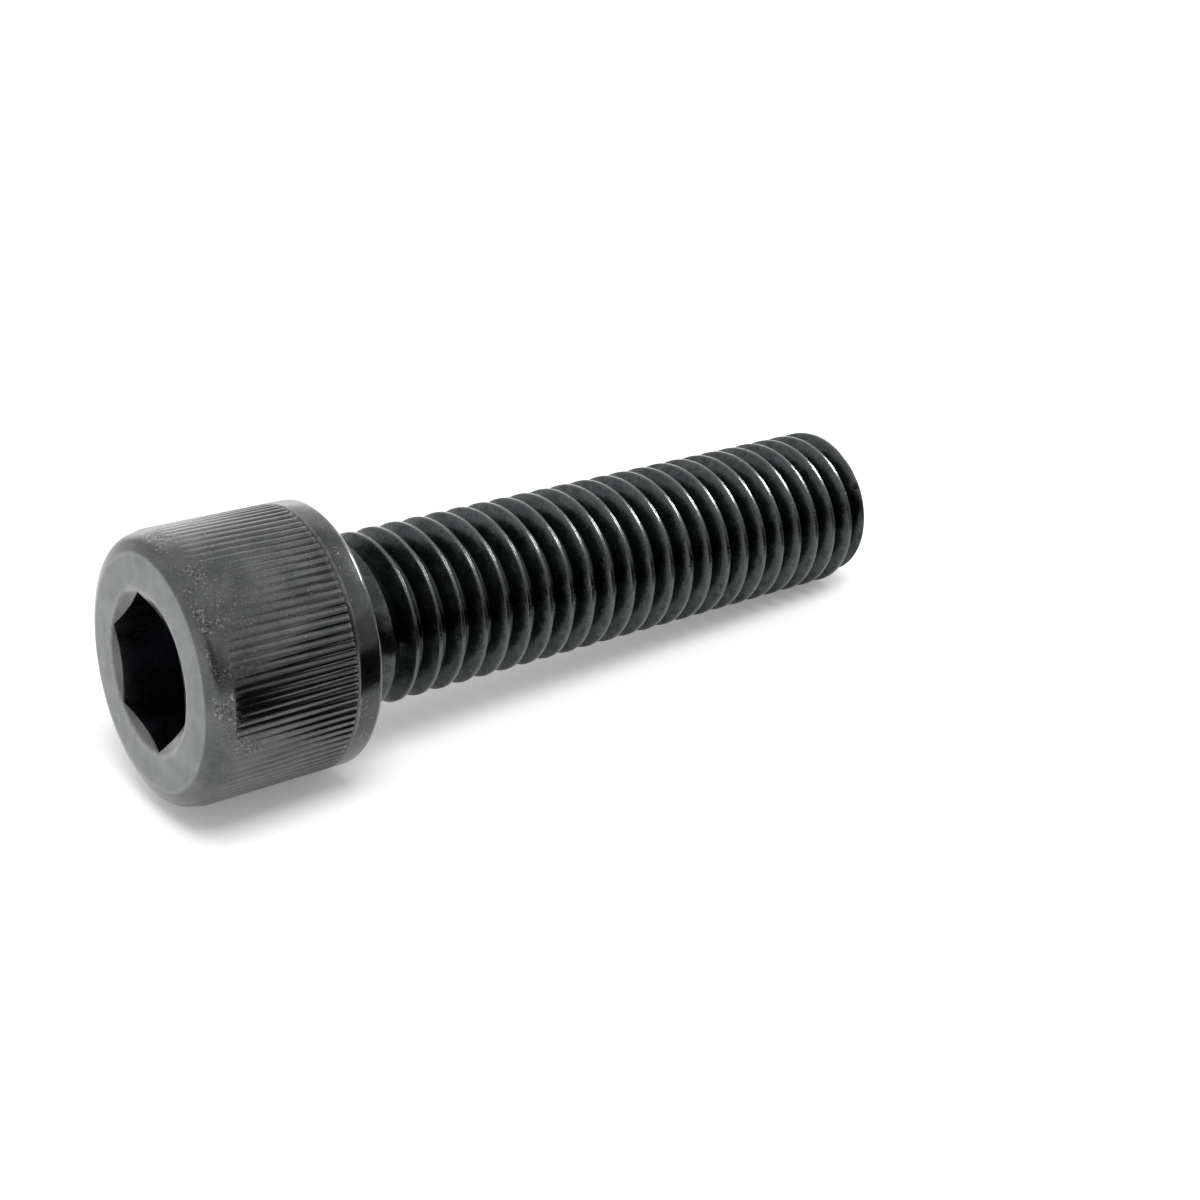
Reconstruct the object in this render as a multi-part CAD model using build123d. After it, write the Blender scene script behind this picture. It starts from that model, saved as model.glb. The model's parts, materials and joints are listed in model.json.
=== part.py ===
"""Socket head cap screw, 1/2 in by 2 in, thirteen threads to the inch, fully threaded.

Millimetres, +Z up.  The origin is the centre of the bearing face under the head, and the
shank points along +X.  The screw lies on its side as it comes to rest: on the rim of the
head's collar and on the last full thread crest, so its axis dips slightly towards the point.
"""

from build123d import *
import os
from math import asin, atan2, cos, degrees, floor, hypot, radians, sin, tan

# head
head_diameter = 19.05  # 3/4 in
head_height = 12.7  # 1/2 in
face_diameter = 16.2  # flat of the end face
shoulder_diameter = 18.4  # where the bevel round the end face ends in a rounded shoulder
shoulder_drop = 0.42  # how far the shoulder lies below the end face
shoulder_round = 0.7
shoulder_height = 1.7  # from the end face down to the knurl, tapered
collar_width = 2.1  # plain band left below the knurl
collar_bevel = 0.25  # width of the bevel on the collar's edge at the knurl
collar_round = 0.45  # rounded rim of the bearing face

# straight knurl round the head, rolled deepest beside the collar
ridge_count = 96
ridge_share = 0.42  # part of one knurl step that stays as the ridge's flat top
knurl_depth = 0.14
knurl_fade = 0.02  # depth left where the grooves reach the shoulder
knurl_step = 0.03  # how far the core lies below the grooves at each end of the knurl

# hexagon socket
socket_width = 9.525  # across flats, 3/8 in
socket_depth = 6.4
socket_turn = 26.55  # degrees a corner stands off the direction the helix starts in
mouth_diameter = 11.5  # countersink at the end face
mouth_slope = 18.0  # degrees the countersink falls from the end face
drill_diameter = 9.2  # hole drilled before the hexagon was pressed in
drill_slope = 30.0  # degrees of the cone that the drill left in the floor

# shank
shank_length = 50.8  # 2 in
neck_diameter = 12.1
neck_length = 1.5
neck_fillet = 0.5
runout_length = 2.8  # over which the thread rises out of the neck
point_chamfer = 1.5

# thread
thread_diameter = 12.7  # 1/2 in
thread_pitch = 25.4 / 13  # thirteen threads to the inch
thread_depth = 0.61 * thread_pitch
flank_angle = 30.0  # degrees of each flank from the plane across the axis
crest_share = 1 / 8  # part of the pitch that is flat crest
thread_start = 1.412  # height of a crest's middle in the direction the helix starts in

# how it lies
roll = 18.75  # degrees from the underside to the direction the helix starts in

# worked out from the sizes above
head_radius = head_diameter / 2
neck_radius = neck_diameter / 2
crest_radius = thread_diameter / 2
root_radius = crest_radius - thread_depth
crest_width = thread_pitch * crest_share
flank_rise = thread_depth * tan(radians(flank_angle))
root_width = thread_pitch - crest_width - 2 * flank_rise
point_radius = crest_radius - point_chamfer


def turned(outline):
    """Solid of revolution about Z of a closed outline given as (radius, height) pairs."""
    face = make_face(Polyline([(radius, 0, height) for radius, height in outline], close=True))
    return revolve(face, Axis.Z)


def head_blank():
    """Forged head before knurling: bevelled end face, shoulder, core of the knurl and collar."""
    collar_core = head_radius - knurl_depth - knurl_step
    shoulder_end = head_radius - knurl_fade - knurl_step
    blank = turned([
        (0, -head_height),
        (face_diameter / 2, -head_height),
        (shoulder_diameter / 2, shoulder_drop - head_height),
        (shoulder_end, shoulder_height - head_height),
        (collar_core, shoulder_height - head_height),
        (collar_core, -collar_width),
        (head_radius, collar_bevel - collar_width),
        (head_radius, 0),
        (0, 0),
    ])
    rings = blank.edges().filter_by(GeomType.CIRCLE).sort_by(Axis.Z)
    blank = fillet(rings[1], shoulder_round)
    rim = blank.edges().filter_by(GeomType.CIRCLE).sort_by(Axis.Z)[-1]
    return fillet(rim, collar_round)


def knurl_section(depth, height):
    """Section of the knurled side at a height: flat-topped ridges parted by V grooves."""
    step = 360 / ridge_count
    outline = []
    for index in range(ridge_count):
        for radius, share in (
            (head_radius, 0),
            (head_radius, ridge_share),
            (head_radius - depth, (1 + ridge_share) / 2),
        ):
            angle = radians(step * (index + share))
            outline.append((radius * cos(angle), radius * sin(angle), height))
    return make_face(Polyline(outline, close=True))


def knurl():
    """Knurled sleeve whose grooves fade from the collar towards the shoulder."""
    faded = knurl_section(knurl_fade, shoulder_height - head_height)
    full = knurl_section(knurl_depth, -collar_width)
    return loft([faded, full], ruled=True)


def socket():
    """Hexagon socket with its countersunk mouth and the cone left by the drill."""
    corner_radius = socket_width / 2 / cos(radians(30))
    floor_height = socket_depth - head_height
    hexagon = RegularPolygon(corner_radius, 6, rotation=socket_turn)
    walls = Pos(0, 0, -head_height) * extrude(hexagon, socket_depth)
    drill_radius = drill_diameter / 2
    drilled = turned([
        (0, floor_height),
        (drill_radius, floor_height),
        (0, floor_height + drill_radius * tan(radians(drill_slope))),
    ])
    mouth_radius = mouth_diameter / 2
    mouth = turned([
        (0, -head_height),
        (mouth_radius, -head_height),
        (0, mouth_radius * tan(radians(mouth_slope)) - head_height),
    ])
    return walls + drilled + mouth


def thread_profile():
    """Corners of one pitch of the thread, as (radius, height) pairs, crest first."""
    crest_top = crest_width / 2
    return [
        (crest_radius, -crest_top),
        (crest_radius, crest_top),
        (root_radius, crest_top + flank_rise),
        (root_radius, crest_top + flank_rise + root_width),
    ]


def threaded_bar(low, turns):
    """Right-hand threaded bar from height low, with a ragged step of one pitch at each end.

    Each corner of the profile runs along a helix, and ruled faces join neighbouring helices,
    turn by turn.  A helicoid and the flat profile close each end.
    """
    profile = thread_profile()
    first_crest = [(profile[0][0], profile[0][1] + thread_pitch)]
    helices = [
        Pos(0, 0, low + height) * Helix(thread_pitch, thread_pitch, radius)
        for radius, height in profile + first_crest
    ]
    faces = []
    for turn in range(turns):
        lift = Pos(0, 0, turn * thread_pitch)
        for lower, upper in zip(helices, helices[1:]):
            faces.append(Face.make_surface_from_curves((lift * lower).edge(), (lift * upper).edge()))
    for end in (0, turns * thread_pitch):
        base = low + end - crest_width / 2
        axis_line = Edge.make_line((0, 0, base), (0, 0, base + thread_pitch))
        rim = (Pos(0, 0, end) * helices[0]).edge()
        faces.append(Face.make_surface_from_curves(axis_line, rim))
        corners = [(0, 0, base)]
        corners += [(radius, 0, low + end + height) for radius, height in profile + first_crest]
        corners += [(0, 0, base + thread_pitch)]
        faces.append(make_face(Polyline(corners, close=True)))
    return Solid(Shell(faces))


def thread():
    """Thread trimmed to the shank: it rises out of the neck and ends in the chamfered point."""
    spare = thread_depth
    turns = floor((shank_length - neck_length) / thread_pitch) + 3
    first = thread_start + thread_pitch * floor((neck_length - thread_start) / thread_pitch - 1)
    bar = threaded_bar(first, turns)
    rise = spare * runout_length / (crest_radius - neck_radius)
    limits = turned([
        (0, neck_length),
        (neck_radius, neck_length),
        (crest_radius + spare, neck_length + runout_length + rise),
        (crest_radius + spare, shank_length - point_chamfer - spare),
        (point_radius, shank_length),
        (0, shank_length),
    ])
    return bar & limits


def neck():
    """Plain neck under the head, with the cone from which the thread's root falls away."""
    return turned([
        (0, -neck_fillet),
        (neck_radius, -neck_fillet),
        (neck_radius, neck_length),
        (root_radius, neck_length + runout_length),
        (0, neck_length + runout_length),
    ])


def rest_tilt():
    """Degrees the axis dips: a line touches the collar's round rim and the last full crest."""
    first_crest = thread_start - thread_pitch * roll / 360 + crest_width / 2
    full_turns = floor((shank_length - point_chamfer - first_crest) / thread_pitch)
    last_crest = first_crest + full_turns * thread_pitch
    drop = head_radius - collar_round - crest_radius
    reach = last_crest + collar_round
    return degrees(atan2(drop, reach) + asin(collar_round / hypot(drop, reach)))


def cap_screw():
    """Whole screw, one piece, standing on its head with the bearing face at height zero."""
    head = head_blank() + knurl() - socket()
    body = head + neck()
    seat = body.edges().filter_by(GeomType.CIRCLE).filter_by_position(Axis.Z, -0.001, 0.001)
    body = fillet(seat.sort_by(SortBy.RADIUS)[0], neck_fillet)
    return body + thread()


laid_down = Rot(0, 90 + rest_tilt(), 0) * Rot(0, 0, roll)
screw = laid_down * cap_screw()

os.makedirs("parts", exist_ok=True)
export_step(screw, "parts/cap_screw.step")
print("rest tilt", round(rest_tilt(), 3), "volume", round(screw.volume, 1), "solids", len(screw.solids()))
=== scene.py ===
import json
import math

import bpy
import numpy as np
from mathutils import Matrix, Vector


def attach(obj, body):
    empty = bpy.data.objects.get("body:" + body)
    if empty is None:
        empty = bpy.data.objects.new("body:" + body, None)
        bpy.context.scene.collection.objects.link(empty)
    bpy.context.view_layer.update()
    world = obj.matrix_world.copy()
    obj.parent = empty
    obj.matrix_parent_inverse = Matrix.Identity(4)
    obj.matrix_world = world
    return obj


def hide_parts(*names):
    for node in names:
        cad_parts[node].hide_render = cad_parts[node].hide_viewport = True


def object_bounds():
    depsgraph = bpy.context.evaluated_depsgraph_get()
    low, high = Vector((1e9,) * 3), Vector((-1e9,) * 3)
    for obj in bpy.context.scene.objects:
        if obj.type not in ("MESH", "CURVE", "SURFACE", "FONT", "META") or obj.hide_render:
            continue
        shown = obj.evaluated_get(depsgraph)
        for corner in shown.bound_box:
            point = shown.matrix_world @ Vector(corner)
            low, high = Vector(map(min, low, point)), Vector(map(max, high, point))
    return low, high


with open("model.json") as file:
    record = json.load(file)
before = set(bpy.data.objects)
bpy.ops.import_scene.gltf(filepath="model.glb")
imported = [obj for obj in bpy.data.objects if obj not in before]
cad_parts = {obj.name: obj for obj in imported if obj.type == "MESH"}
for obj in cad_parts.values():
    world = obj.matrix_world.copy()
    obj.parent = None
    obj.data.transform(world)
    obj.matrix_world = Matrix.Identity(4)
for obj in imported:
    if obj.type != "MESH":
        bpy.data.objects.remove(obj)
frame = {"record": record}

cadLow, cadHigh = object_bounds()
scene = bpy.context.scene
mm = 0.001
fullTurn = 2 * math.pi

# the screw's own directions: along the shank, across it on the near side, and up
bearing = next(mount for mount in frame["record"]["mounts"] if mount["name"] == "bearing_face")
seat = np.array(bearing["pos_m"])
along = np.array(bearing["axis"]) / np.linalg.norm(bearing["axis"])
near = np.array([0.0, -1.0, 0.0])
up = np.cross(near, along)
dip = math.atan2(-along[2], along[0])

# sizes in millimetres, angles in degrees, heights counted from the bearing face towards the
# point, angles round the axis counted from the top over the near side
head = {
    "radius": 9.525,
    "height": 12.7,
    "faceRadius": 8.1,  # flat of the end face
    "faceRound": 1.6,
    "shoulderRadius": 9.2,  # where the bevel round the end face turns into the side
    "shoulderDrop": 0.42,
    "shoulderRound": 0.8,
    "shoulderHeight": 1.7,  # from the end face down to the knurl
    "shoulderLip": 0.12,  # height of the strip that joins the shoulder to the ridges
    "lipRound": 0.2,
    "collar": 2.1,
    "collarBevel": 0.25,
    "bevelRounds": (0.02, 0.1),
    "rimRound": 0.45,
    "seatRadius": 8.95,  # inner edge of the collar's ring on the bearing face
    "ridges": 96,
    "ridgeShare": 0.42,  # part of one step that stays as the ridge's flat top
    "ridgeRound": 0.12,  # part of one step over which a ridge's shoulder turns
    "grooveRound": 0.06,  # part of one step on each side of a groove's bottom
    "grooveDepth": 0.14,
    "grooveFade": 0.02,  # depth left where the grooves reach the shoulder
    "grooveGrowth": 1.5,  # power by which the depth grows towards the collar
    "coreStep": 0.03,
}
socket = {
    "acrossFlats": 9.525,
    "depth": 6.4,
    "cornerAngle": 45.3,  # from the underside to a corner, on the far side
    "mouthRadius": 5.75,
    "mouthRound": 0.9,
    "mouthSlope": 18,
    "edgeRound": 0.12,
    "floorBevel": 0.12,
    "drillRadius": 4.6,
    "drillSlope": 30,
}
shank = {
    "length": 50.8,
    "neckRadius": 6.05,
    "neckLength": 1.5,
    "neckFillet": 0.5,
    "runOut": 2.8,  # over which the thread rises out of the neck
    "pointBevel": 1.5,
    "pointRound": 0.3,
    "crestRadius": 6.35,
    "crestShare": 1 / 8,  # part of the pitch that is flat crest
    "crestRound": 0.04,
    "crestSeam": 0.012,  # depth of the seam that rolling leaves along the crest
    "seamWidth": 0.1,
    "crestBelow": 1.31,  # height of a crest's middle on the underside
    "pitch": 25.4 / 13,  # thirteen threads to the inch
    "depthShare": 0.61,  # thread depth as a part of the pitch
    "flank": 30,
    "rootRound": 0.14,
    "beside": 0.03,  # how far from a rounding the flank gets a point of its own
    "endRing": 0.9,  # radius of the ring inside which the end face is a fan
}
columns = {"face": 192, "round": 128}  # points round one ring
startAngle = math.radians(-15)
sharpAngle = math.radians(38)  # edges that turn by more stay sharp
tiny = 0.01  # millimetres; places nearer than this are the same
forged, knurled, rolled, deep = range(4)  # the piece's material slots


def roundCorners(line, radii, steps):
    # each inner corner of an open line becomes a circular arc, written as a weighted curve
    # between its two tangent points: the corner's weight is the cosine of half the turn
    line = np.asarray(line, float)
    legs = np.diff(line, axis=0)
    legs /= np.linalg.norm(legs, axis=1, keepdims=True)
    before, after, corner = legs[:-1], legs[1:], line[1:-1]
    half = np.arccos(np.clip((before * after).sum(1), -1, 1)) / 2
    reach = (np.asarray(radii) * np.tan(half))[:, None]
    t = np.linspace(0, 1, steps)[None, :, None]
    parts = ((1 - t) ** 2, 2 * np.cos(half)[:, None, None] * t * (1 - t), t ** 2)
    ends = (corner - reach * before, corner, corner + reach * after)
    arcs = sum(part * end[:, None] for part, end in zip(parts, ends)) / sum(parts)
    return np.concatenate([line[:1], arcs.reshape(-1, 2), line[-1:]])


def place(height, radius, angle):
    # height along the shank plus radius times (cosine of the angle upwards, sine to the near side)
    height, radius, angle = np.broadcast_arrays(height, radius, angle)
    out = radius[..., None] * (np.cos(angle)[..., None] * up + np.sin(angle)[..., None] * near)
    return seat + mm * (height[..., None] * along + out)


class Skin:
    # one closed surface, put together from blocks of points and the faces between them
    def __init__(self):
        self.points, self.faces, self.finishes, self.count = [], [], [], 0

    def add(self, height, radius, angle):
        # keeps a block of points and gives back their numbers in the block's own layout
        points = place(height, radius, angle)
        block = np.arange(points[..., 0].size).reshape(points.shape[:-1]) + self.count
        self.points.append(points.reshape(-1, 3))
        self.count += block.size
        return block

    def face(self, corners, finish):
        self.faces += np.asarray(corners).tolist()
        self.finishes += [finish] * len(corners)

    def rings(self, block, finish):
        # quads between neighbouring closed rings
        low, high = block[:-1], block[1:]
        quads = np.stack([low, np.roll(low, -1, 1), np.roll(high, -1, 1), high], -1)
        self.face(quads.reshape(-1, 4), finish)

    def fans(self, few, many, finish, widening):
        # a ring of few points and one of many, joined by a fan of triangles at each of the few
        share = len(many) // len(few)
        fan = many.reshape(len(few), share)
        fan = np.concatenate([fan, np.roll(fan[:, :1], -1, 0)], 1)
        here, there, half = few, np.roll(few, -1), share // 2
        tips = [here] * half + [there] * (share - half)
        groups = [(tip, fan[:, i + 1], fan[:, i]) for i, tip in enumerate(tips)]
        groups.append((here, there, fan[:, half]))
        for corners in groups:
            self.face(np.stack(corners if widening else corners[::-1], 1), finish)

    def mesh(self, name):
        mesh = bpy.data.meshes.new(name)
        mesh.from_pydata(np.concatenate(self.points).tolist(), [], self.faces)
        mesh.polygons.foreach_set("material_index", self.finishes)
        mesh.polygons.foreach_set("use_smooth", [True] * len(self.faces))
        mesh.set_sharp_from_angle(angle=sharpAngle)
        return mesh


def socketRows(angle):
    # cone: its height grows by the slope times the distance inside the drill's radius; wall:
    # half the width across flats over the cosine of the angle from the nearest flat's middle;
    # countersink: it falls from the face by its slope times the distance inside the mouth
    corner = math.radians(180 + socket["cornerAngle"])
    fromFlat = np.mod(angle - corner, fullTurn / 6) - fullTurn / 12
    wall = socket["acrossFlats"] / 2 / np.cos(fromFlat)
    slope = math.radians(socket["mouthSlope"])
    face = -head["height"]
    edge = face + (socket["mouthRadius"] - wall) * math.tan(slope)
    floor = face + socket["depth"]
    drill, fall = socket["drillRadius"], math.tan(math.radians(socket["drillSlope"]))
    cone = drill * np.linspace(0.12, 1, 5)  # radii, from a small ring round the cone's tip
    level, bevel = 0 * wall, socket["floorBevel"]
    rows = [(floor + (drill - r) * fall + level, r + level) for r in cone]
    rows += [(floor + level, wall - bevel), (floor + bevel + level, wall)]
    half = (math.pi / 2 - slope) / 2
    reach = socket["edgeRound"] * math.tan(half)
    rows += [(floor + (edge + reach - floor) * t, wall) for t in (0.2, 0.4, 0.6, 0.8)]
    # rounded edge between wall and countersink, as in roundCorners
    for t in np.linspace(0, 1, 4):
        parts = np.array([(1 - t) ** 2, 2 * math.cos(half) * t * (1 - t), t ** 2])
        parts /= parts.sum()
        down = parts[0] * (edge + reach) + parts[1] * edge + parts[2] * (edge - reach * math.sin(slope))
        rows.append((down, wall + parts[2] * reach * math.cos(slope)))
    return rows


def buildFace(skin):
    # rings round the axis: the socket's rows, then one rounded outline of countersink, end
    # face, bevel and shoulder; some points of each ring fall on the hexagon's corners
    count, early = columns["face"], 0.001  # a point at the start angle comes first all the same
    angle = math.radians(180 + socket["cornerAngle"]) + np.arange(count) / count * fullTurn
    angle = np.sort(np.mod(angle - startAngle + early, fullTurn)) + startAngle - early
    face, slope = -head["height"], math.tan(math.radians(socket["mouthSlope"]))
    core = head["radius"] - head["coreStep"]
    lip = face + head["shoulderHeight"] - head["shoulderLip"]
    sink = 5.58  # just outside the hexagon's corners, where the outline starts
    outline = roundCorners(
        [
            (face + (socket["mouthRadius"] - sink) * slope, sink),
            (face, socket["mouthRadius"]),
            (face, head["faceRadius"]),
            (face + head["shoulderDrop"], head["shoulderRadius"]),
            (lip, core),
            (lip + 0.5, core + 0.04),  # only gives the lip's rounding its direction
        ],
        [socket["mouthRound"], head["faceRound"], head["shoulderRound"], head["lipRound"]],
        steps=6,
    )
    rows = socketRows(angle)
    inside = len(rows)
    rows += [(h + 0 * angle, r + 0 * angle) for h, r in outline[1:-1]]
    front = skin.add(*(np.array(part) for part in zip(*rows)), angle)
    tip = face + socket["depth"] + socket["drillRadius"] * math.tan(math.radians(socket["drillSlope"]))
    apex = skin.add(np.array([tip]), 0.0, 0.0)
    skin.face(np.stack([apex[0] + 0 * front[0], np.roll(front[0], -1), front[0]], 1), deep)
    skin.rings(front[: inside - 2], deep)
    skin.rings(front[inside - 3 :], forged)
    return front[-1]


def buildKnurl(skin):
    # flat-topped ridges parted by V grooves: the depth is the faded one plus the rest times
    # the share of the way from shoulder to collar, raised to the growth
    step = fullTurn / head["ridges"]
    share, bend, foot = head["ridgeShare"], head["ridgeRound"], head["grooveRound"]
    valley = (1 + share) / 2
    across = np.array([0, share / 2, share, share + bend, valley - foot, valley, valley + foot, 1 - bend])
    fall = np.array([0.12, 0.0, 0.12, 0.5, 0.93, 1.0, 0.93, 0.5])  # share of the depth at each
    angle = (startAngle + step * (np.arange(head["ridges"])[:, None] + across)).ravel()
    t = np.linspace(0, 1, 12)[:, None]  # rings from the shoulder to the collar
    depth = head["grooveFade"] + (head["grooveDepth"] - head["grooveFade"]) * t ** head["grooveGrowth"]
    sunk = np.tile(fall, head["ridges"]) * depth
    start = head["shoulderHeight"] - head["height"]
    return skin.add(start + (-head["collar"] - start) * t, head["radius"] - sunk, angle)


def buildCollar(skin):
    # one rounded outline turned about the axis: the plain band's bevel at the knurl, its side,
    # its rim and the outer ring of the bearing face
    core, side = head["radius"] - head["grooveDepth"] - head["coreStep"], head["radius"]
    outline = roundCorners(
        [
            (-head["collar"], core - 0.05),  # only gives the bevel's foot its direction
            (-head["collar"], core),
            (head["collarBevel"] - head["collar"], side),
            (0, side),
            (0, head["seatRadius"]),
        ],
        [*head["bevelRounds"], head["rimRound"]],
        steps=6,
    )[1:]
    angle = startAngle + np.arange(columns["round"]) / columns["round"] * fullTurn
    return skin.add(outline[:, :1], outline[:, 1:], angle)


def softMin(a, b, blend=0.03):
    # the smaller of two values, rounded where they are within the blend of each other
    gap = np.maximum(blend - np.abs(a - b), 0)
    return np.minimum(a, b) - gap ** 2 / blend / 4


def threadProfile():
    # one pitch from the middle of a root to the next: offsets along the axis and radii
    pitch, crest = shank["pitch"], shank["crestRadius"]
    root = crest - shank["depthShare"] * pitch
    halfCrest = pitch * shank["crestShare"] / 2
    halfRoot = pitch / 2 - halfCrest - (crest - root) * math.tan(math.radians(shank["flank"]))
    line = [(0, root), (halfRoot, root), (pitch / 2 - halfCrest, crest)]
    line += [(pitch - offset, radius) for offset, radius in line[::-1]]
    rounds = [shank["rootRound"], shank["crestRound"], shank["crestRound"], shank["rootRound"]]
    steps = 3
    profile = roundCorners(line, rounds, steps)
    # extra points on the crest's seam and beside each rounding, where they keep the flanks flat
    seam = pitch / 2 + shank["seamWidth"] * np.array([-0.5, 0.0, 0.5])
    flankEnds = profile[[steps, steps + 1, 3 * steps, 3 * steps + 1], 0]
    beside = flankEnds + shank["beside"] * np.array([1, -1, 1, -1])
    offsets = np.sort(np.concatenate([profile[:-1, 0], seam, beside]))
    radii = np.interp(offsets, profile[:, 0], profile[:, 1])
    radii -= shank["crestSeam"] * (np.abs(offsets - pitch / 2) < tiny)
    return offsets, radii, root


def buildShank(skin, ring):
    # the thread's profile is carried along a helix that starts on the bearing face, runs over
    # the neck, the thread and the point's bevel, and ends on the point's end face: a way
    # coordinate counts all of it, and tables turn it into height and largest radius
    offsets, radii, root = threadProfile()
    pitch, crest, neck = shank["pitch"], shank["crestRadius"], shank["neckRadius"]
    length, begin = shank["length"], shank["neckLength"]
    tip = crest - shank["pointBevel"]
    past, bevel = 5, 2.7  # the run-out's and the bevel's cones go on beyond the crest
    lowEnd = [(0, head["seatRadius"]), (0, neck), (begin, neck)]
    lowEnd = roundCorners(lowEnd, [shank["neckFillet"]], steps=9)
    highEnd = [(length - bevel, tip + bevel), (length, tip), (length, 0.1)]
    highEnd = roundCorners(highEnd, [shank["pointRound"]], steps=7)
    rise = begin + shank["runOut"] * past
    way = np.concatenate([lowEnd[:, 0] - lowEnd[:, 1] + neck, [rise], length + tip - highEnd[:, 1]])
    heights = np.concatenate([lowEnd[:, 0], [rise], highEnd[:, 0]])
    limits = np.concatenate([lowEnd[:, 1], [neck + (crest - neck) * past], highEnd[:, 1]])

    # the helix starts on the bearing face, a strip and less than a pitch inside the collar's
    # ring, and covers part of the end face; the point's last strip isn't smoothed
    count, strip, cover, nearlyOne = columns["round"], 0.2, 1.0, 0.999
    first = neck - head["seatRadius"] + strip
    start = shank["crestBelow"] + pitch * (startAngle / fullTurn - 1)
    start -= pitch * math.ceil((start - first) / pitch - nearlyOne)
    turns = math.ceil((length + cover - start) / pitch)
    step = np.arange((turns + 1) * count + 1)[:, None]
    w = start + pitch * step / count + offsets
    height, limit = np.interp(w, way, heights), np.interp(w, way, limits)
    runOut = neck - (w - begin) * (neck - root) / shank["runOut"]
    radius = softMin(-softMin(-np.broadcast_to(radii, w.shape), -runOut), limit)
    radius = np.where((w < begin) | (w > length - strip), limit, radius)
    angle = startAngle + fullTurn * step / count

    # the last root of one turn is the first root of the next, so each turn borrows that line
    last = turns * count
    sheet = skin.add(height[: last + 1], radius[: last + 1], angle[: last + 1])
    tail = skin.add(height[last + 1 :, 0], radius[last + 1 :, 0], angle[last + 1 :, 0])
    line = np.concatenate([sheet[:, 0], tail])
    low = np.concatenate([sheet[:-1], line[count:-1, None]], 1)
    high = np.concatenate([sheet[1:], line[count + 1 :, None]], 1)
    quads = np.stack([low[:, :-1], high[:, :-1], high[:, 1:], low[:, 1:]], -1)
    finish = np.where(height[:last] < 2 * tiny, forged, rolled)
    for part in (forged, rolled):
        skin.face(quads[finish == part], part)

    # flat wedges join the two ends of the helix to the collar's ring and to a small end ring
    skin.face(np.stack([ring[:-1], ring[1:], line[1:count], line[: count - 1]], 1), forged)
    skin.face([[ring[-1], ring[0], *sheet[0], line[count], line[count - 1]]], forged)
    end = skin.add(np.full(count, length), shank["endRing"], angle[last:-1, 0])
    rest = line[last:]
    skin.face(np.stack([rest[1:-1], rest[2:], np.roll(end, -1)[1:], end[1:]], 1), rolled)
    skin.face([[rest[0], rest[1], end[1], end[0], rest[-1], *sheet[last, :0:-1]]], rolled)
    pole = skin.add(np.array([length]), 0.0, 0.0)
    skin.face(np.stack([end, np.roll(end, -1), pole[0] + 0 * end], 1), rolled)


skin = Skin()
faceRing = buildFace(skin)
ridges = buildKnurl(skin)
skin.fans(faceRing, ridges[0], forged, True)
skin.rings(ridges, knurled)
band = buildCollar(skin)
skin.fans(band[0], ridges[-1], knurled, False)
skin.rings(band, forged)
buildShank(skin, band[-1])
screw = bpy.data.objects.new("screw_body", skin.mesh("screw_body"))
scene.collection.objects.link(screw)
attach(screw, "root")
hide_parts("cap_screw")
print("screw surface:", len(screw.data.vertices), "points,", len(screw.data.polygons), "faces")


def addNode(tree, kind, inputs=None, **settings):
    # one node with its settings; inputs are numbers, colours or the sockets that feed them
    made = tree.nodes.new(kind)
    for name, value in settings.items():
        setattr(made, name, value)
    for name, value in (inputs or {}).items():
        if isinstance(value, bpy.types.NodeSocket):
            tree.links.new(value, made.inputs[name])
        else:
            made.inputs[name].default_value = value
    return made


def calc(tree, operation, *values, clamp=False):
    made = addNode(tree, "ShaderNodeMath", dict(enumerate(values)), operation=operation, use_clamp=clamp)
    return made.outputs[0]


def vectorCalc(tree, operation, *values):
    return addNode(tree, "ShaderNodeVectorMath", dict(enumerate(values)), operation=operation).outputs


def ramp(tree, value, low, high, start=0.0, end=1.0):
    # smooth step from one value to another
    made = addNode(
        tree, "ShaderNodeMapRange",
        {"Value": value, "From Min": low, "From Max": high, "To Min": start, "To Max": end},
        interpolation_type="SMOOTHSTEP",
    )
    return made.outputs["Result"]


def noise(tree, where, scale, detail):
    return addNode(tree, "ShaderNodeTexNoise", {"Vector": where, "Scale": scale, "Detail": detail}).outputs[0]


def blendColors(tree, mask, amount, first, second):
    # from the first colour towards the second by the mask times the amount; the node's colour
    # sockets share their names with others, so they go by number
    made = addNode(tree, "ShaderNodeMix", data_type="RGBA")
    share = mask if amount == 1 else calc(tree, "MULTIPLY", mask, amount)
    for slot, value in zip((made.inputs[0], made.inputs[6], made.inputs[7]), (share, first, second)):
        if isinstance(value, bpy.types.NodeSocket):
            tree.links.new(value, slot)
        else:
            slot.default_value = value
    return made.outputs[2]


def newGroup(name, inputs, outputs):
    tree = bpy.data.node_groups.new(name, "ShaderNodeTree")
    for label, kind, value in inputs:
        made = tree.interface.new_socket(label, in_out="INPUT", socket_type="NodeSocket" + kind)
        if value is not None:
            made.default_value = value
    for label, kind in outputs:
        tree.interface.new_socket(label, in_out="OUTPUT", socket_type="NodeSocket" + kind)
    return tree, tree.nodes.new("NodeGroupInput").outputs, tree.nodes.new("NodeGroupOutput").inputs


def useGroup(tree, group, inputs):
    return addNode(tree, "ShaderNodeGroup", inputs, node_tree=group).outputs


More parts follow.
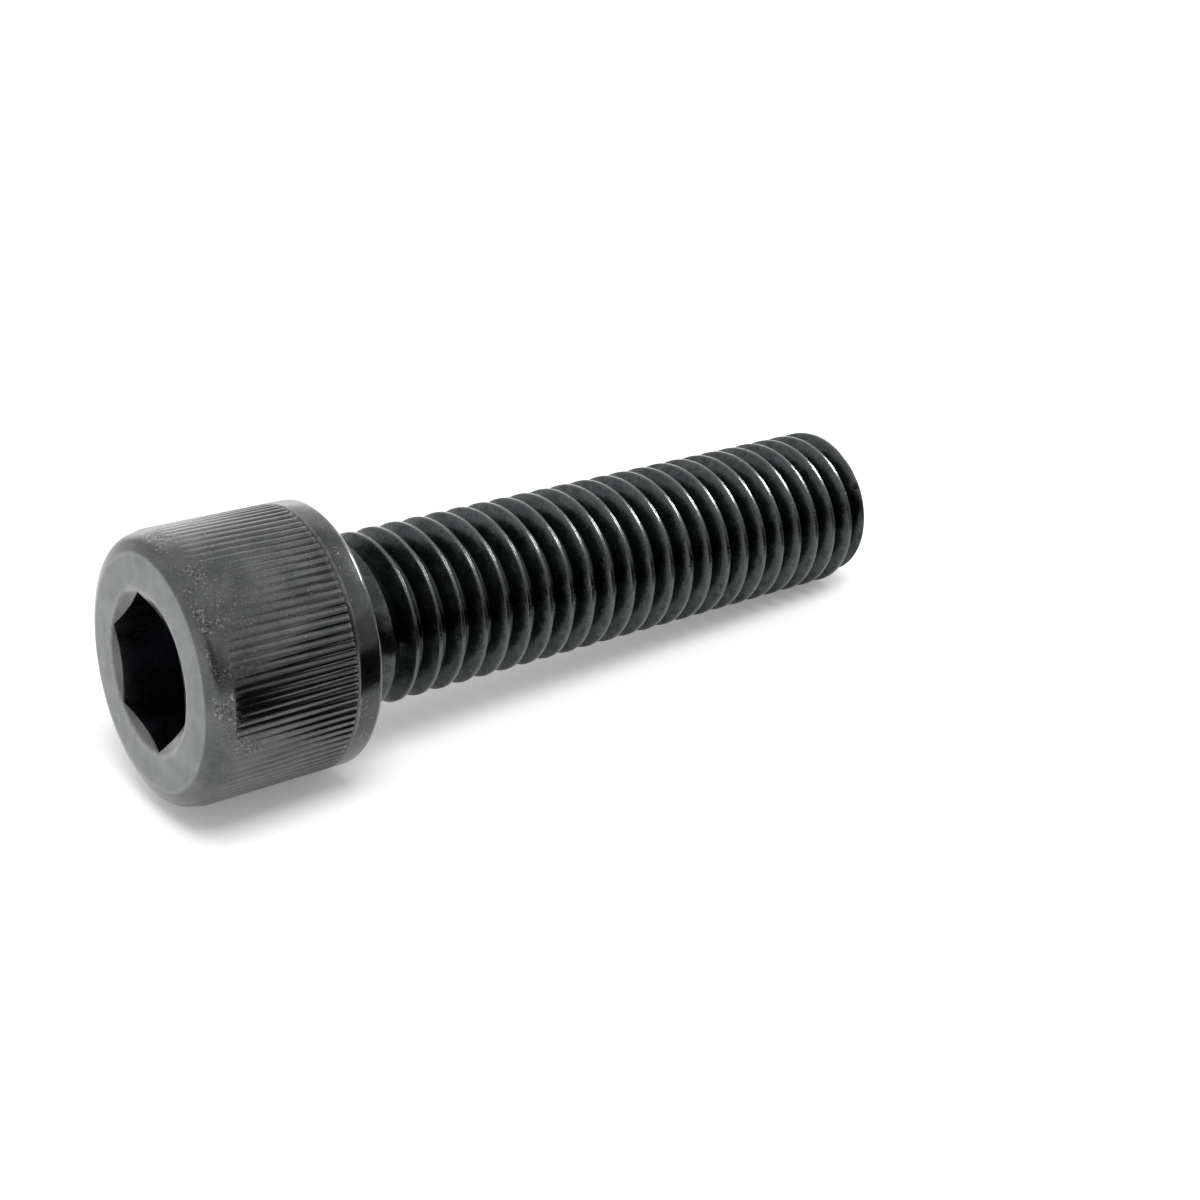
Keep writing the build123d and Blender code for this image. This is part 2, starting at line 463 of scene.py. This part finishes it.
def makeAxisPlace():
    # turns object coordinates into the screw's own: height along the shank and radius, in mm
    outputs = [("Place", "Vector"), ("Height", "Float"), ("Radius", "Float")]
    tree, _, out = newGroup("axis place", [], outputs)
    coordinates = addNode(tree, "ShaderNodeTexCoord").outputs["Object"]
    scale = (1 / mm, 1 / mm, 1 / mm)
    settings = {"Vector": coordinates, "Rotation": (0, -dip, 0), "Scale": scale}
    turned = addNode(tree, "ShaderNodeMapping", settings).outputs["Vector"]
    parts = addNode(tree, "ShaderNodeSeparateXYZ", {"Vector": turned}).outputs
    radius = vectorCalc(tree, "LENGTH", vectorCalc(tree, "MULTIPLY", turned, (0, 1, 1))[0])["Value"]
    for name, value in (("Place", turned), ("Height", parts["X"]), ("Radius", radius)):
        tree.links.new(value, out[name])
    return tree


def makeOxideTone():
    # black oxide: broad clouds and fine grain shift the colour, the roughness and the height
    tree, given, out = newGroup(
        "oxide tone",
        [
            ("Place", "Vector", None),
            ("Dark", "Color", (0.08, 0.08, 0.08, 1)),
            ("Light", "Color", (0.12, 0.12, 0.12, 1)),
            ("Cloud Size", "Float", 2.0),
            ("Grain Size", "Float", 0.12),
            ("Roughness Low", "Float", 0.2),
            ("Roughness High", "Float", 0.3),
            ("Waviness", "Float", 0.0),
        ],
        [("Color", "Color"), ("Roughness", "Float"), ("Height", "Float")],
    )
    cloudPart, grainPart, contrast = 0.55, 0.45, (0.34, 0.66)
    cloud = noise(tree, given["Place"], calc(tree, "DIVIDE", 1.0, given["Cloud Size"]), detail=3.0)
    grain = noise(tree, given["Place"], calc(tree, "DIVIDE", 1.0, given["Grain Size"]), detail=4.0)
    mixed = calc(tree, "MULTIPLY_ADD", cloud, cloudPart, calc(tree, "MULTIPLY", grain, grainPart))
    share = ramp(tree, mixed, *contrast)
    tree.links.new(blendColors(tree, share, 1, given["Dark"], given["Light"]), out["Color"])
    spread = calc(tree, "SUBTRACT", given["Roughness High"], given["Roughness Low"])
    tree.links.new(calc(tree, "MULTIPLY_ADD", share, spread, given["Roughness Low"]), out["Roughness"])
    tree.links.new(calc(tree, "MULTIPLY_ADD", cloud, given["Waviness"], grain), out["Height"])
    return tree


def makeRingWearAndHighlight():
    # rubbed ring with a painted edge highlight: strongest at one height and radius, gone at the reach, broken
    # up by noise
    tree, given, out = newGroup(
        "ring wear and highlight",
        [
            ("Place", "Vector", None),
            ("Height", "Float", 0.0),
            ("Radius", "Float", 0.0),
            ("Ring Height", "Float", 0.0),
            ("Ring Radius", "Float", 1.0),
            ("Reach", "Float", 0.3),
            ("Patchiness", "Float", 0.6),
        ],
        [("Mask", "Float")],
    )
    across = calc(tree, "SUBTRACT", given["Height"], given["Ring Height"])
    outward = calc(tree, "SUBTRACT", given["Radius"], given["Ring Radius"])
    squares = calc(tree, "MULTIPLY_ADD", across, across, calc(tree, "MULTIPLY", outward, outward))
    distance = calc(tree, "SQRT", squares)
    patchScale, patchEdge = 1.6, (0.42, 0.62)
    patches = ramp(tree, noise(tree, given["Place"], patchScale, detail=5.0), *patchEdge)
    kept = calc(tree, "SUBTRACT", 1.0, calc(tree, "MULTIPLY", patches, given["Patchiness"]))
    close = calc(tree, "SUBTRACT", 1.0, calc(tree, "DIVIDE", distance, given["Reach"]), clamp=True)
    tree.links.new(calc(tree, "MULTIPLY", close, kept, clamp=True), out["Mask"])
    return tree


def makeSpecks():
    # crowds of specks: fine noise above a limit, only inside patches of coarse noise; a speck is
    # rubbed bare or is a pit, each from a noise of its own
    tree, given, out = newGroup(
        "specks",
        [
            ("Place", "Vector", None),
            ("Size", "Float", 0.2),
            ("Patch Size", "Float", 1.5),
            ("Share", "Float", 0.3),
            ("Where", "Float", 1.0),
        ],
        [("Bare", "Float"), ("Pit", "Float")],
    )
    patchEdge, topLimit, easing, softness = (0.35, 0.7), 0.73, 0.3, 0.08
    fine = calc(tree, "DIVIDE", 1.0, given["Size"])
    patches = noise(tree, given["Place"], calc(tree, "DIVIDE", 1.0, given["Patch Size"]), detail=2.0)
    allowed = calc(tree, "MULTIPLY", ramp(tree, patches, *patchEdge), given["Where"])
    allowed = calc(tree, "MULTIPLY", allowed, given["Share"])
    limit = calc(tree, "MULTIPLY_ADD", allowed, -easing, topLimit)
    for name, shift in (("Bare", 31.0), ("Pit", 57.0)):
        moved = vectorCalc(tree, "ADD", given["Place"], (shift, shift, shift))[0]
        excess = calc(tree, "SUBTRACT", noise(tree, moved, fine, detail=1.0), limit)
        tree.links.new(calc(tree, "DIVIDE", excess, softness, clamp=True), out[name])
    return tree


axisPlace, oxideTone, ringWearAndHighlight, specks = makeAxisPlace(), makeOxideTone(), makeRingWearAndHighlight(), makeSpecks()

# colours are what the steel sends back face on; sizes in millimetres; rubbed rings, which
# also paint edge highlights, are height, radius, reach and how much bare steel shows; zones are
# the two radii, heights or distances between which an effect sets in, and amounts say how strong it is
# bare steel, for rubbed rings and bare specks; in the rings it also paints edge highlights
bareSteelAndHighlight = (0.3, 0.3, 0.295, 1)
finishes = {
    "forged head": {
        "dark": (0.07, 0.075, 0.073, 1),
        "light": (0.118, 0.122, 0.117, 1),
        "cloud": 2.5,
        "grain": 0.14,
        "roughness": (0.17, 0.25),
        "bump": 0.002,
        "waves": 2.5,
        # rubbed rings; the one round the end face's edge is also a painted highlight line
        "rings": [
            (-12.7, 8.1, 0.22, 0.45), (-12.66, 5.7, 0.32, 0.6),
            (-1.87, 9.53, 0.16, 0.4), (-0.15, 9.42, 0.3, 0.4),
        ],
        "speckSize": 0.18,
        "speckShare": 0.38,
        "zones": {
            "faceEdge": (8.4, 8.0),
            "mouthEdge": (5.5, 5.85),
            "faceLevel": (-12.4, -12.6),
            "shoulderTop": (-12.5, -12.2),
            "shoulderFoot": (-10.6, -11.3),
            "towardsKnocks": (3.5, 9.0),
            "collar": (-2.5, -2.0),
        },
        "knockedSide": (0, -0.6, 0.8),  # direction in which the shoulder is knocked most
        "knocks": (0.5, 3.6),  # how crowded the shoulder's specks are, elsewhere and on that side
        # how much darker the turned collar is made
        "collarDarkening": 0.35,
        "specksOnCollar": 0.8,
        "specksElsewhere": 0.2,
    },
    "knurled side": {
        "dark": (0.068, 0.072, 0.07, 1),
        "light": (0.115, 0.119, 0.114, 1),
        "cloud": 2.5,
        "grain": 0.14,
        "roughness": (0.19, 0.26),
        "bump": 0.0012,
        "waves": 2.0,
        "rings": [(-2.1, 9.5, 0.3, 0.25)],
        "speckSize": 0.18,
        "speckShare": 0.42,
        "zones": {
            "grooves": (head["radius"] - 0.02, head["radius"] - 0.1),
            "nearShoulder": (-7.0, -11.0),
        },
        "knocks": (0.3, 1.5),  # how crowded specks are towards the collar and the shoulder
        # how strongly the grooves' bottoms are darkened: painted shade with oil and soot
        "grooveShadeAndSoot": 0.8,
    },
    "rolled thread": {
        "dark": (0.036, 0.041, 0.042, 1),
        "light": (0.088, 0.095, 0.095, 1),
        "cloud": 0.9,
        "grain": 0.2,
        "roughness": (0.18, 0.28),
        "bump": 0.003,
        "waves": 8.0,
        # rubbed rings at both edges of the point's bevel, also painted highlight lines
        "rings": [(49.3, 6.33, 0.22, 0.5), (50.75, 4.87, 0.2, 0.4)],
        "speckSize": 0.2,
        "speckShare": 0.35,
        "zones": {
            "root": (6.3, 5.3),
            "neck": (3.0, 1.4),
            "crest": (6.15, 6.32),
            "endFace": (shank["length"] - 0.2, shank["length"] - 0.04),
        },
        # how strongly painted shade darkens the thread's roots and the shank next to the head
        "rootAndNeckShade": 0.75,
        "crestRub": 0.8,
        "crestRoughness": 0.03,
        "specksOnCrest": 0.8,
    },
    "socket walls": {
        "dark": (0.048, 0.052, 0.062, 1),
        "light": (0.076, 0.081, 0.093, 1),
        "cloud": 2.0,
        "grain": 0.15,
        "roughness": (0.25, 0.4),
        "bump": 0.001,
        "waves": 0.0,
        "rings": [],
        "speckSize": 0.3,
        "speckShare": 0.0,
    },
}
endFaces = {
    "struck": {
        "dark": (0.14, 0.15, 0.15, 1), "light": (0.21, 0.22, 0.217, 1),
        "cloud": 1.6, "grain": 0.07, "roughness": 0.16,
    },
    "sheared": {
        "dark": (0.1, 0.11, 0.107, 1), "light": (0.15, 0.16, 0.155, 1),
        "cloud": 1.5, "grain": 0.08, "roughness": 0.2,
    },
}
crestTone = (0.1, 0.106, 0.106, 1)
# dark tone for pits and the darker collar, and for the painted shade in the knurl's grooves and the thread's
# roots
sootAndShadeTone = (0.03, 0.032, 0.034, 1)
marking = {"bare": 0.5, "pit": 0.6, "pitDepth": 4.0}  # how strong the specks are


def endFace(tree, spot, look, mask, color, roughness):
    # a struck or sheared face is lighter and duller than the finish round it
    dull = useGroup(tree, oxideTone, {
        "Place": spot["Place"], "Dark": look["dark"], "Light": look["light"],
        "Cloud Size": look["cloud"], "Grain Size": look["grain"],
    })
    color = blendColors(tree, mask, 1, color, dull["Color"])
    return color, calc(tree, "MULTIPLY_ADD", mask, look["roughness"], roughness)


# finishHead, finishKnurl and finishThread give back colour, roughness and where specks crowd
def finishHead(tree, spot, look, color, roughness):
    # the end face is flat and lies between the bevel round it and the countersink
    zones = look["zones"]
    outer, inner = (ramp(tree, spot["Radius"], *zones[edge]) for edge in ("faceEdge", "mouthEdge"))
    band = calc(tree, "MULTIPLY", outer, inner)
    flat = calc(tree, "MULTIPLY", band, ramp(tree, spot["Height"], *zones["faceLevel"]))
    color, roughness = endFace(tree, spot, endFaces["struck"], flat, color, roughness)
    # specks crowd on the shoulder, where the head knocks against others
    top, foot = (ramp(tree, spot["Height"], *zones[edge]) for edge in ("shoulderTop", "shoulderFoot"))
    shoulder = calc(tree, "MULTIPLY", top, foot)
    side = vectorCalc(tree, "DOT_PRODUCT", spot["Place"], look["knockedSide"])["Value"]
    crowd = ramp(tree, side, *zones["towardsKnocks"], *look["knocks"])
    # the turned collar is darker than the rest
    collar = ramp(tree, spot["Height"], *zones["collar"])
    color = blendColors(tree, collar, look["collarDarkening"], color, sootAndShadeTone)
    others = calc(tree, "MULTIPLY_ADD", collar, look["specksOnCollar"], look["specksElsewhere"])
    return color, roughness, calc(tree, "MULTIPLY_ADD", shoulder, crowd, others)


def finishKnurl(tree, spot, look, color, roughness):
    # the bottoms of the grooves are darkened, painted shade with oil and soot; specks thin out towards the
    # collar
    sunk = ramp(tree, spot["Radius"], *look["zones"]["grooves"])
    color = blendColors(tree, sunk, look["grooveShadeAndSoot"], color, sootAndShadeTone)
    return color, roughness, ramp(tree, spot["Height"], *look["zones"]["nearShoulder"], *look["knocks"])


def finishThread(tree, spot, look, color, roughness):
    # the flanks darken towards the root and the neck, painted shade in the thread's roots and next to the
    # head, and the crests are rubbed lighter
    zones = look["zones"]
    root, neck = ramp(tree, spot["Radius"], *zones["root"]), ramp(tree, spot["Height"], *zones["neck"])
    color = blendColors(tree, calc(tree, "MAXIMUM", root, neck), look["rootAndNeckShade"], color, sootAndShadeTone)
    crest = ramp(tree, spot["Radius"], *zones["crest"])
    color = blendColors(tree, crest, look["crestRub"], color, crestTone)
    roughness = calc(tree, "MULTIPLY_ADD", crest, look["crestRoughness"], roughness)
    end = ramp(tree, spot["Height"], *zones["endFace"])
    color, roughness = endFace(tree, spot, endFaces["sheared"], end, color, roughness)
    return color, roughness, calc(tree, "MULTIPLY_ADD", crest, look["specksOnCrest"], end)


extras = {"forged head": finishHead, "knurled side": finishKnurl, "rolled thread": finishThread}


def makeFinish(name, look):
    # oxide tone, then what the part of the screw adds, then rubbed rings with painted edge highlights, and
    # specks
    material = bpy.data.materials.new(name)
    material.use_nodes = True
    tree = material.node_tree
    shader = tree.nodes["Principled BSDF"]
    spot = useGroup(tree, axisPlace, {})
    tone = useGroup(tree, oxideTone, {
        "Place": spot["Place"], "Dark": look["dark"], "Light": look["light"],
        "Cloud Size": look["cloud"], "Grain Size": look["grain"], "Waviness": look["waves"],
        "Roughness Low": look["roughness"][0], "Roughness High": look["roughness"][1],
    })
    color, roughness, where = tone["Color"], tone["Roughness"], 1.0
    if name in extras:
        color, roughness, where = extras[name](tree, spot, look, color, roughness)
    # rubbed rings in bare steel, which also paint edge highlights
    for height, radius, reach, amount in look["rings"]:
        wearAndHighlight = useGroup(tree, ringWearAndHighlight, {
            "Place": spot["Place"], "Height": spot["Height"], "Radius": spot["Radius"],
            "Ring Height": height, "Ring Radius": radius, "Reach": reach,
        })["Mask"]
        color = blendColors(tree, wearAndHighlight, amount, color, bareSteelAndHighlight)
    marks = useGroup(tree, specks, {
        "Place": spot["Place"], "Size": look["speckSize"], "Share": look["speckShare"], "Where": where,
    })
    color = blendColors(tree, marks["Bare"], marking["bare"], color, bareSteelAndHighlight)
    color = blendColors(tree, marks["Pit"], marking["pit"], color, sootAndShadeTone)
    dent = calc(tree, "MULTIPLY", marks["Pit"], marking["pitDepth"])
    settings = {"Height": calc(tree, "SUBTRACT", tone["Height"], dent), "Distance": look["bump"] * mm}
    bump = addNode(tree, "ShaderNodeBump", {**settings, "Strength": 1.0})
    tree.links.new(color, shader.inputs["Base Color"])
    tree.links.new(roughness, shader.inputs["Roughness"])
    tree.links.new(bump.outputs["Normal"], shader.inputs["Normal"])
    shader.inputs["Metallic"].default_value = 1.0
    return material


for name, look in finishes.items():
    screw.data.materials.append(makeFinish(name, look))
print("finishes:", ", ".join(finishes))

# places and sizes in metres; a lamp is aimed at the screw's middle, and "only" says whether it
# lights just the floor or shows just in reflections; cards only ever show in reflections
studio = {
    "middle": (0.02, 0, 0),
    "floorColor": (0.95, 0.95, 0.95, 1),
    "floorHalf": 0.42,
    "floorRoughness": 0.7,
    "floorGlow": 0.2,  # added where the floor is looked at or mirrored
    "fill": 0.54,  # light from all around
    "background": 1.0,
    "lamps": {
        "key lamp": {
            "direction": (-0.14, -0.42, 1.0), "distance": 0.6, "size": (0.28, 0.28),
            "radiance": 9.8, "only": "floor",
        },
        "back lamp": {
            "direction": (0.42, 0.78, 0.46), "distance": 1.0, "size": (1.6, 0.8),
            "radiance": 0.6, "only": None,
        },
        "low lamp": {
            "direction": (0.42, 0.88, 0.1), "distance": 1.0, "size": (1.6, 0.24),
            "radiance": 0.8, "only": None,
        },
        "crest lamp": {
            "direction": (0.79, -0.12, 0.6), "distance": 0.5, "size": (0.19, 0.065),
            "radiance": 62.0, "only": "reflections",
        },
    },
    "cards": {
        "front card": {
            "middle": (0.35, -0.75, 0.12), "size": (2.0, 0.5), "facing": (-0.42, 0.9, 0.0), "glow": 0.5,
        },
        "near card": {
            "middle": (-0.42, -0.62, 0.3), "size": (0.8, 0.5), "facing": (0.56, 0.83, 0.0), "glow": 0.25,
        },
        "dark card": {
            "middle": (0.028, -0.0215, -0.0035), "size": (0.075, 0.012), "facing": (0, 1, 0), "glow": 0.015,
        },
    },
}


def plane(name, corners):
    # a rectangle of the stage and the nodes of its own material
    mesh = bpy.data.meshes.new(name)
    mesh.from_pydata(corners, [], [(0, 1, 2, 3)])
    made = bpy.data.objects.new(name, mesh)
    scene.collection.objects.link(made)
    material = bpy.data.materials.new(name)
    material.use_nodes = True
    mesh.materials.append(material)
    return made, material.node_tree


def standing(middle, size, facing):
    # corners of a rectangle that stands upright and faces one way
    middle, facing = Vector(middle), Vector(facing).normalized()
    side = Vector((0, 0, 1)).cross(facing).normalized() * size[0] / 2
    rise = facing.cross(side).normalized() * size[1] / 2
    return [middle - side - rise, middle + side - rise, middle + side + rise, middle - side + rise]


def lookedAt(tree):
    # 1 for what the camera sees directly, mirrored or through something, and 0 for what lights
    rays = addNode(tree, "ShaderNodeLightPath").outputs
    mirrored = calc(tree, "MAXIMUM", rays["Is Glossy Ray"], rays["Is Transmission Ray"])
    return calc(tree, "MAXIMUM", rays["Is Camera Ray"], mirrored)


def makeFloor():
    low, half = cadLow.z, studio["floorHalf"]
    corners = [(-half, -half, low), (half, -half, low), (half, half, low), (-half, half, low)]
    _, tree = plane("floor", corners)
    shader = tree.nodes["Principled BSDF"]
    shader.inputs["Base Color"].default_value = studio["floorColor"]
    shader.inputs["Roughness"].default_value = studio["floorRoughness"]
    shader.inputs["Emission Color"].default_value = (1, 1, 1, 1)
    glow = calc(tree, "MULTIPLY", lookedAt(tree), studio["floorGlow"])
    tree.links.new(glow, shader.inputs["Emission Strength"])


def makeWorld():
    scene.world = bpy.data.worlds.new("studio")
    scene.world.use_nodes = True
    tree = scene.world.node_tree
    sky = tree.nodes["Background"]
    sky.inputs["Color"].default_value = (1, 1, 1, 1)
    light = ramp(tree, lookedAt(tree), 0, 1, studio["fill"], studio["background"])
    tree.links.new(light, sky.inputs["Strength"])


def makeLamp(name, lamp):
    data = bpy.data.lights.new(name, "AREA")
    data.shape = "RECTANGLE"
    data.size, data.size_y = lamp["size"]
    data.energy = lamp["radiance"] * math.pi * lamp["size"][0] * lamp["size"][1]
    made = bpy.data.objects.new(name, data)
    direction = Vector(lamp["direction"]).normalized()
    made.location = Vector(studio["middle"]) + direction * lamp["distance"]
    made.rotation_euler = direction.to_track_quat("Z", "Y").to_euler()
    made.visible_camera = False
    made.visible_glossy = lamp["only"] != "floor"
    made.visible_diffuse = lamp["only"] != "reflections"
    scene.collection.objects.link(made)


def makeCard(name, card):
    made, tree = plane(name, standing(card["middle"], card["size"], card["facing"]))
    tree.nodes.remove(tree.nodes["Principled BSDF"])
    glow = addNode(tree, "ShaderNodeEmission", {"Color": (1, 1, 1, 1), "Strength": card["glow"]})
    tree.links.new(glow.outputs[0], tree.nodes["Material Output"].inputs["Surface"])
    made.visible_camera = made.visible_diffuse = made.visible_shadow = made.visible_transmission = False


makeFloor()
makeWorld()
for name, lamp in studio["lamps"].items():
    makeLamp(name, lamp)
for name, card in studio["cards"].items():
    makeCard(name, card)
print("studio: floor, world,", len(studio["lamps"]), "lamps and", len(studio["cards"]), "cards")

view = {
    "place": (-0.06005, -0.1084, 0.06105),
    "azimuth": -38.43,
    "elevation": 19.3,
    "lens": 57.44,
    "sensor": 36,
    "shift": -0.1769,
    "clip": (0.005, 20),
}
azimuth, elevation = math.radians(view["azimuth"]), math.radians(view["elevation"])
spread = math.cos(elevation)
away = Vector((-math.sin(azimuth) * spread, math.cos(azimuth) * spread, -math.sin(elevation)))
camera = bpy.data.objects.new("camera", bpy.data.cameras.new("camera"))
scene.collection.objects.link(camera)
scene.camera = camera
camera.location = view["place"]
camera.rotation_euler = away.to_track_quat("-Z", "Y").to_euler()
camera.data.lens, camera.data.sensor_width = view["lens"], view["sensor"]
camera.data.shift_y = view["shift"]
camera.data.clip_start, camera.data.clip_end = view["clip"]
scene.view_settings.view_transform = "Standard"
